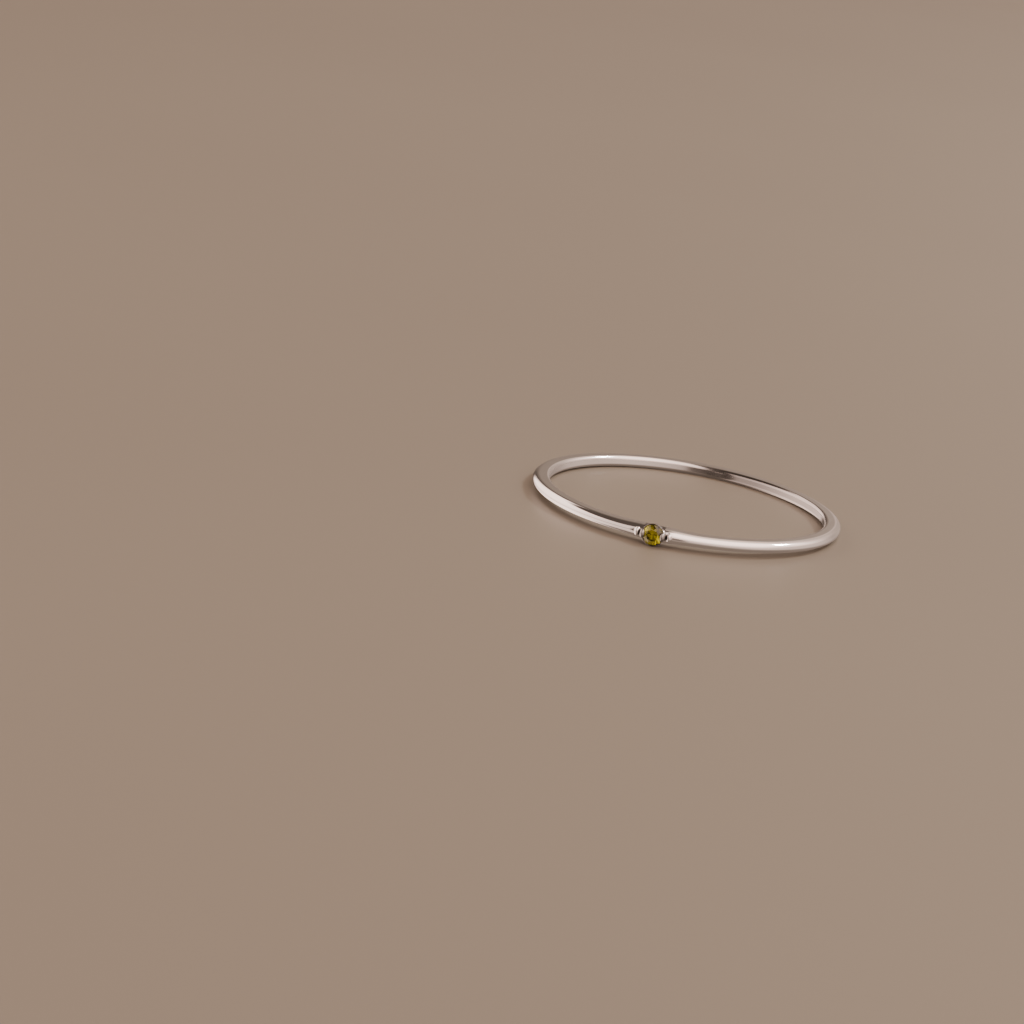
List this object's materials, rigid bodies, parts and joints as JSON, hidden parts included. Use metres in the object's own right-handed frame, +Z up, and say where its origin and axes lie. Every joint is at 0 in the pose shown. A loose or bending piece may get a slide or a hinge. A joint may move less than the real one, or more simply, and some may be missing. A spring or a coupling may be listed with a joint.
{
  "type": "birthstone ring",
  "caption": "Thin polished silver stacking ring with one small round yellow-green stone in a round cup, with a claw bead and a shoulder bead at each side.",
  "frame": {"origin": "centre of the footprint of the ring as it lies on its side, at the surface that it rests on", "axes": "+Z up, nearly along the finger's axis, which leans 1.04 degrees from it as the ring rests on the cup and the back of the band; the stone faces -Y; +X to the right when the stone is seen from in front"},
  "size_m": [0.0194, 0.0198, 0.0014],
  "materials": {
    "polished_silver": "high polish, with the fine hairlines and soft waviness of worn silver",
    "yellow_green_stone": "cut and polished transparent stone, olive to lemon yellow"
  },
  "bodies": {
    "root": {"band_with_setting": "polished_silver", "stone": "yellow_green_stone"}
  },
  "joints": []
}
